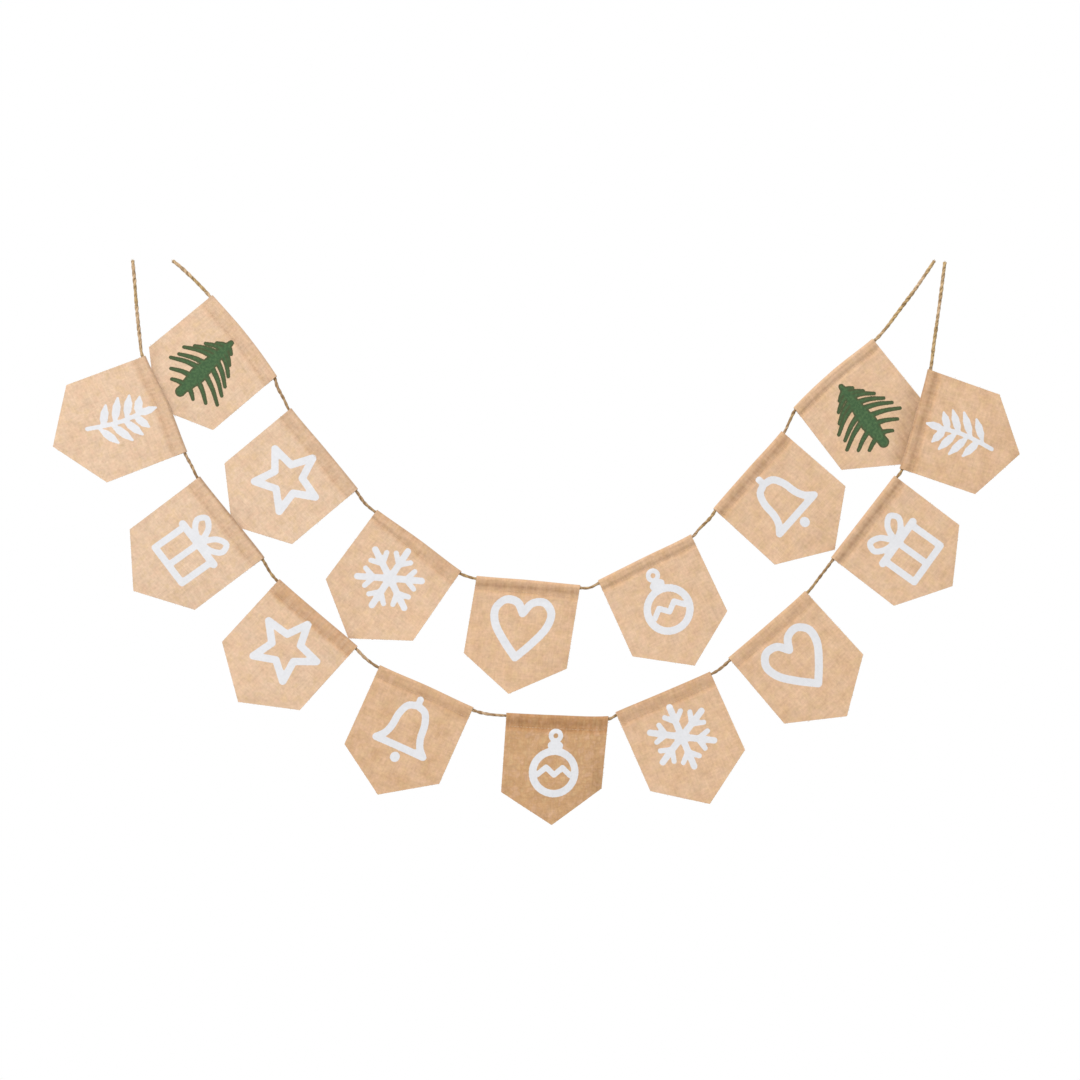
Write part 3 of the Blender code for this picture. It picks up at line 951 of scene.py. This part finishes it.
def burlap(name, printed):
    """The cloth's finish. Its map is in millimetres across and down the cloth."""
    material, tree, shader = start_finish(name, 0.95, 0.15)
    spot, straight_across, straight_down = uv_parts(tree, "on the cloth")
    wobble = scaled(tree, clouds(tree, spot, WOBBLE_CLOSE), YARN_WOBBLE, -YARN_WOBBLE / 2)
    across = reckon(tree, "ADD", straight_across, wobble)
    down = reckon(tree, "ADD", straight_down, wobble)

    # The plain weave: where the two waves agree a warp yarn is on top, elsewhere a weft yarn.
    over = reckon(tree, "SINE", times(tree, across, pi / YARN_PITCH))
    under = reckon(tree, "SINE", times(tree, down, pi / YARN_PITCH))
    agree = times(tree, over, under)
    warp = times(tree, reckon(tree, "ABSOLUTE", over), scaled(tree, agree, 0.5, 0.5))
    weft = times(tree, reckon(tree, "ABSOLUTE", under), scaled(tree, agree, -0.5, 0.5))
    weave = reckon(tree, "MAXIMUM", warp, weft)

    # Each yarn has its own shade, and thick and thin stretches show as streaks both ways.
    warp_yarn = reckon(tree, "FLOOR", reckon(tree, "DIVIDE", across, YARN_PITCH))
    weft_yarn = reckon(tree, "FLOOR", reckon(tree, "DIVIDE", down, YARN_PITCH))
    shades = reckon(
        tree, "ADD", streaks(tree, warp_yarn, down, SHADE_CLOSE, SHADE_LONG),
        streaks(tree, weft_yarn, across, SHADE_CLOSE, SHADE_LONG, 8.0),
    )
    slubs = reckon(
        tree, "ADD", streaks(tree, across, down, SLUB_CLOSE, SLUB_LONG, 3.0),
        streaks(tree, down, across, SLUB_CLOSE, SLUB_LONG, 5.0),
    )
    flecks = clouds(tree, spot, CLOTH_FLECK_CLOSE, 3.0)
    patches = clouds(tree, spot, PATCH_CLOSE, 2.0)
    light = 1.0
    for change, most, middle in (
        (shades, SHADE_LIGHT, 1.0), (slubs, SLUB_LIGHT, 1.0), (flecks, FLECK_LIGHT, 0.5),
        (patches, PATCH_LIGHT, 0.5),
    ):
        light = reckon(tree, "ADD", light, scaled(tree, change, most, -most * middle))

    blotches = clouds(tree, spot, CLOTH_BLOTCH_CLOSE, 3.0)
    browner = scaled(tree, blotches, BLOTCH_TONE, -BLOTCH_TONE / 2)
    tone = reckon(tree, "ADD", attribute(tree, "tone"), browner, clamp=True)
    light_to_tan = reckon(tree, "MULTIPLY", tone, 2.0, clamp=True)
    tan_to_brown = reckon(tree, "MULTIPLY_ADD", tone, 2.0, -1.0, clamp=True)
    colour = tint(tree, light_to_tan, LIGHT_BURLAP, TAN_BURLAP)
    colour = tint(tree, tan_to_brown, colour, BROWN_BURLAP)
    hues = clouds(tree, place(tree, straight_down, straight_across, 40.0), HUE_CLOSE, 3.0)
    colour = tint(tree, between(tree, hues, 0.48, 0.68, 0.0, HUE_MOST), colour, PINK_BURLAP)
    colour = tint(tree, between(tree, hues, 0.50, 0.30, 0.0, HUE_MOST), colour, OCHRE_BURLAP)
    colour = brighten(tree, colour, light)
    # Painted shade in the gaps between the yarns.
    colour = tint(tree, between(tree, weave, 0.0, 0.35, 0.55, 0.0), colour, GAP_SHADE)
    # The painted shade of the doubled cloth and of the pinch, crest, seam and shadows, broken into
    # streaks where the cloth gathers.
    gathers = streaks(tree, straight_across, straight_down, GATHER_CLOSE, GATHER_LONG, 7.0)
    gathers = between(tree, gathers, 0.3, 0.7, 0.7, 1.3)
    for mark, shade in (("doubled painted shade", DOUBLED_SHADE_TINT), ("painted shade marks", PAINTED_SHADE_TINT)):
        share = reckon(tree, "MULTIPLY", attribute(tree, mark), gathers, clamp=True)
        colour = tint(tree, share, colour, shade, "MULTIPLY")

    if printed:
        uneven_edge = clouds(tree, spot, RAGGED_CLOSE, 2.0)
        ragged = scaled(tree, uneven_edge, PAINT_RAGGED, -PAINT_RAGGED / 2)
        cover = between(tree, weave, 0.0, 0.3, 0.72, 1.0)

        def inside(mark):
            """How far a point is from the paint's ragged edge, and how well it is covered."""
            past = reckon(tree, "ADD", attribute(tree, mark), ragged)
            return past, times(tree, between(tree, past, PAINT_EDGE, -PAINT_EDGE), cover)

        _, covered = inside("white paint")
        white = brighten(tree, WHITE_PAINT, scaled(tree, light, 0.3, 0.7))
        colour = tint(tree, covered, colour, white)
        past, covered = inside("green paint")
        clumps = clouds(tree, spot, CLOTH_FLECK_CLOSE, 3.0)
        green = tint(tree, between(tree, clumps, 0.4, 0.65), GREEN_PAINT, GREEN_LIGHT)
        green = tint(tree, between(tree, past, -GREEN_RIM, -0.6, 0.0, 0.85), green, GREEN_DARK)
        colour = tint(tree, covered, colour, green)
    wire(tree, shader.inputs["Base Color"], colour)
    raise_surface(tree, shader, scaled(tree, slubs, 0.5, weave), 0.35, 0.6)
    return material


printed_burlap = burlap("printed burlap", True)
plain_burlap = burlap("burlap", False)
hung_pennants = []
for label, (route, depth) in ROWS.items():
    starts = casing_starts(PENNANTS[label])
    for number, (pennant, start) in enumerate(zip(PENNANTS[label], starts), 1):
        seed = len(hung_pennants) + 1
        hung = Hung(f"{label}_{number}", pennant, start, route, depth, seed)
        hung_pennants.append((hung, sew_cloth(hung, [printed_burlap, plain_burlap])))

# The stitching. One row of light cotton lockstitch holds each casing shut, and it shows on the
# front and on the flap behind.
STITCH_LENGTH = 3.0
STITCH_GAP = 0.7
STITCH_FROM_SIDE = 2.0
THREAD = 0.4
THREAD_ABOVE_CLOTH = 0.1
# One stitch: how far along it each point is from its middle, and how far it stands out.
STITCH = ((-0.5, -0.35), (-0.36, 0.04), (0.0, 0.08), (0.36, 0.04), (0.5, -0.35))
STITCH_TAPER = (0.7, 1, 1, 1, 0.7)
THREAD_COLOUR = (0.55, 0.39, 0.26)
THREAD_DARK = (0.42, 0.28, 0.17)


def add_threads(name, strands, thickness, material):
    """Many short lengths of yarn or thread as one piece: the points of each, and how thick it is
    at each point."""
    curve = bpy.data.curves.new(name, "CURVE")
    curve.dimensions = "3D"
    curve.bevel_depth = thickness / 2 * MM
    curve.bevel_resolution = 0
    curve.use_fill_caps = True
    for points, taper in strands:
        spline = curve.splines.new("POLY")
        spline.points.add(len(points) - 1)
        for point, where, thick in zip(spline.points, points, taper):
            point.co = (*(np.asarray(where) * MM), 1.0)
            point.radius = thick
    curve.materials.append(material)
    piece = link(name, curve)
    return piece


def yarn_finish(name, roughness, sheen, close, dark, light, depth):
    """A finish for thin yarn or thread: fine strands of two shades."""
    material, tree, shader = start_finish(name, roughness, sheen)
    where = tree.nodes.new("ShaderNodeTexCoord").outputs["Object"]
    strands = clouds(tree, where, close, 2.0)
    colour = tint(tree, between(tree, strands, 0.35, 0.65), dark, light)
    wire(tree, shader.inputs["Base Color"], colour)
    raise_surface(tree, shader, strands, depth, 0.5)
    return material


def stitch_row(hung, front):
    """The stitches of one face of the casing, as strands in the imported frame."""
    pennant = hung.pennant
    pitch = STITCH_LENGTH + STITCH_GAP
    count = int((pennant.width - 2 * STITCH_FROM_SIDE) / pitch)
    face = 1 if front else -1
    strands = []
    for k in range(count):
        middle = STITCH_FROM_SIDE + (k + (0.5 if front else 1.0)) * pitch
        points = []
        for part, rise in STITCH:
            share = (middle + part * STITCH_LENGTH) / pennant.width
            column = share * hung.columns
            low = min(int(column), hung.columns - 1)
            rows = blend(hung.grid[low], hung.grid[low + 1], column - low)
            # The stitches behind are in the flap, so far above its raw edge.
            down = hem_at(pennant, share) if front else rows[0, 3] + FLAP_BELOW_STITCH
            spot = [np.interp(down, rows[:, 3], rows[:, axis]) for axis in range(3)]
            spot[1] += face * (CLOTH / 2 + THREAD_ABOVE_CLOTH + rise)
            points.append(spot)
        strands.append((hung.world(points), STITCH_TAPER))
    return strands


cotton = yarn_finish(
    "cotton thread", 0.7, 0.2, close=2200.0, dark=THREAD_DARK, light=THREAD_COLOUR, depth=0.08
)
for hung, _ in hung_pennants:
    rows = stitch_row(hung, True) + stitch_row(hung, False)
    add_threads(f"stitches_{hung.label}", rows, THREAD, cotton)

# The cut edges. The burlap isn't hemmed at its sides or point, so the ends of the yarns stand out
# from them a little, and here and there one has come loose.
YARN_STEP = 1.3
YARN_UNEVEN = 0.4           # how far a yarn is from its even place
YARN_END = 0.55
YARN_ROOT = 0.8             # how far its piece starts inside the cloth
YARN_TAPER = (1.0, 0.9, 0.35)
YARN_REACH = (0.1, 0.6)
LOOSE_SHARE = 0.03          # of the yarns have come loose, and reach further
LOOSE_REACH = (0.3, 1.2)
random = np.random.default_rng(16)


def edge_yarns(hung):
    """Short yarn ends along the sides, the two lower edges and the flap."""
    grid, strands = hung.grid, []
    half = hung.columns // 2
    # Each edge, and the ways in which its yarns point, across and up.
    edges = (
        (grid[0], ((-1, 0),)), (grid[-1], ((1, 0),)),
        (grid[: half + 1, -1], ((0, -1), (-1, 0))), (grid[half:, -1], ((0, -1), (1, 0))),
        (grid[:, 0], ((0, -1),)),
    )
    for line, ways in edges:
        lengths = lengths_along(line[:, :3])
        for mark in np.arange(YARN_STEP / 2, lengths[-1], YARN_STEP):
            mark += random.uniform(-YARN_UNEVEN, YARN_UNEVEN)
            root = np.array([np.interp(mark, lengths, line[:, axis]) for axis in range(3)])
            across, up = ways[random.integers(len(ways))]
            reach = random.uniform(*YARN_REACH)
            if random.random() < LOOSE_SHARE:
                reach += random.uniform(*LOOSE_REACH)
            ahead = (across, 0, up) + random.normal(0, (0.2, 0.12, 0.2))
            bend = random.normal(0, (0.15, 0.1, 0.15))
            points = [
                root - YARN_ROOT * ahead, root + 0.5 * reach * ahead, root + reach * (ahead + bend)
            ]
            strands.append((hung.world(points), YARN_TAPER))
    return strands


yarn = yarn_finish(
    "burlap yarn", 0.95, 0.15, close=900.0, dark=BROWN_BURLAP, light=LIGHT_BURLAP, depth=0.1
)
for hung, cloth in hung_pennants:
    pennant = hung.pennant
    ends = add_threads(f"edge_yarns_{hung.label}", edge_yarns(hung), YARN_END, yarn)

# Loose fibres of the jute, along the free twine and in a small tuft at each cut end.
FIBRE = 0.11
FIBRE_EVERY = 0.7
FIBRE_REACH = (1.0, 4.0)
FIBRE_ROOT = 1.1            # from the twine's middle
FIBRE_TAPER = (1.0, 0.8, 0.3)
CLEAR_OF_CASING = 1.0
CLEAR_OF_END = 2.0
TUFT = 22
TUFT_REACH = (0.6, 2.3)
TUFT_ROOT = (0.1, 1.2)
TUFT_TAPER = (1.4, 1.0, 0.5)


def fibres_of(path, marks, pennants):
    """The loose fibres of one twine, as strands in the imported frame."""
    covered = [
        (start - CLEAR_OF_CASING, start + pennant.width + CLEAR_OF_CASING)
        for pennant, start in zip(pennants, casing_starts(pennants))
    ]
    side, other = crossways(path)
    ahead = np.cross(side, other)

    def outward(step, angle):
        return cos(angle) * side[step] + sin(angle) * other[step]

    strands = []
    for mark in np.arange(CLEAR_OF_END, marks[-1] - CLEAR_OF_END, FIBRE_EVERY):
        if any(low < mark < high for low, high in covered):
            continue
        step = int(np.searchsorted(marks, mark))
        angle, way = random.uniform(0, 2 * pi), random.choice((-1, 1))
        out, onward = outward(step, angle), way * ahead[step]
        reach = random.uniform(*FIBRE_REACH)
        root = path[step] + FIBRE_ROOT * out
        halfway = root + reach * (0.4 * onward + 0.22 * out)
        strands.append(([root, halfway, root + reach * (onward + 0.36 * out)], FIBRE_TAPER))
    for step, way in ((0, -1), (len(path) - 1, 1)):
        onward = way * ahead[step]
        for _ in range(TUFT):
            out = outward(step, random.uniform(0, 2 * pi))
            root = path[step] + random.uniform(*TUFT_ROOT) * out - onward
            reach = random.uniform(*TUFT_REACH)
            halfway = root + (1 + 0.5 * reach) * onward + 0.1 * reach * out
            strands.append(
                ([root, halfway, root + (1 + reach) * onward + 0.35 * reach * out], TUFT_TAPER)
            )
    return strands


def fibre_finish():
    """Plain jute, a little lighter and darker from place to place."""
    material, tree, shader = start_finish("jute fibre", 0.8, 0.1)
    where = tree.nodes.new("ShaderNodeTexCoord").outputs["Object"]
    patches = between(tree, clouds(tree, where, 120.0, 1.0), 0.4, 0.6)
    wire(tree, shader.inputs["Base Color"], tint(tree, patches, JUTE_OCHRE, JUTE_TAN))
    return material


fibre = fibre_finish()
for label, (piece, path, marks) in twines.items():
    strands = fibres_of(path, marks, PENNANTS[label])
    fibres = add_threads(f"fibres_{label}", strands, FIBRE, fibre)

# The studio: white all round, one big soft light high at the left, and a pale floor below.
FLOOR_DOWN = -1400.0
FLOOR_FORWARD = -1400.0
FLOOR_WIDTH = 6800.0
FLOOR_PALE = (0.75, 0.75, 0.74, 1.0)
KEY_PLACE = Vector((-1900.0, -3500.0, 4200.0))
KEY_POWER = 345.0
KEY_SIZE = 1950.0

world = bpy.data.worlds.new("studio")
world.use_nodes = True
surround = world.node_tree.nodes["Background"]
surround.inputs["Color"].default_value = (1.0, 1.0, 1.0, 1.0)
surround.inputs["Strength"].default_value = 1.0
bpy.context.scene.world = world
bpy.context.scene.view_settings.view_transform = "Standard"

key = bpy.data.objects.new("key light", bpy.data.lights.new("key light", "AREA"))
key.data.energy = KEY_POWER
key.data.size = KEY_SIZE * MM
key.location = KEY_PLACE * MM
to_middle = Vector((0.0, 0.0, PICTURE_MIDDLE)) - KEY_PLACE
key.rotation_euler = to_middle.to_track_quat("-Z", "Y").to_euler()
bpy.context.scene.collection.objects.link(key)

ground = bmesh.new()
bmesh.ops.create_grid(ground, x_segments=1, y_segments=1, size=FLOOR_WIDTH / 2 * MM)
bmesh.ops.translate(ground, verts=ground.verts, vec=(0.0, FLOOR_FORWARD * MM, FLOOR_DOWN * MM))
floor_mesh = bpy.data.meshes.new("floor")
ground.to_mesh(floor_mesh)
ground.free()
floor = bpy.data.objects.new("floor", floor_mesh)
bpy.context.scene.collection.objects.link(floor)
pale_floor, _, pale = start_finish("pale floor", 0.8, 0.0)
pale.inputs["Base Color"].default_value = FLOOR_PALE
floor_mesh.materials.append(pale_floor)
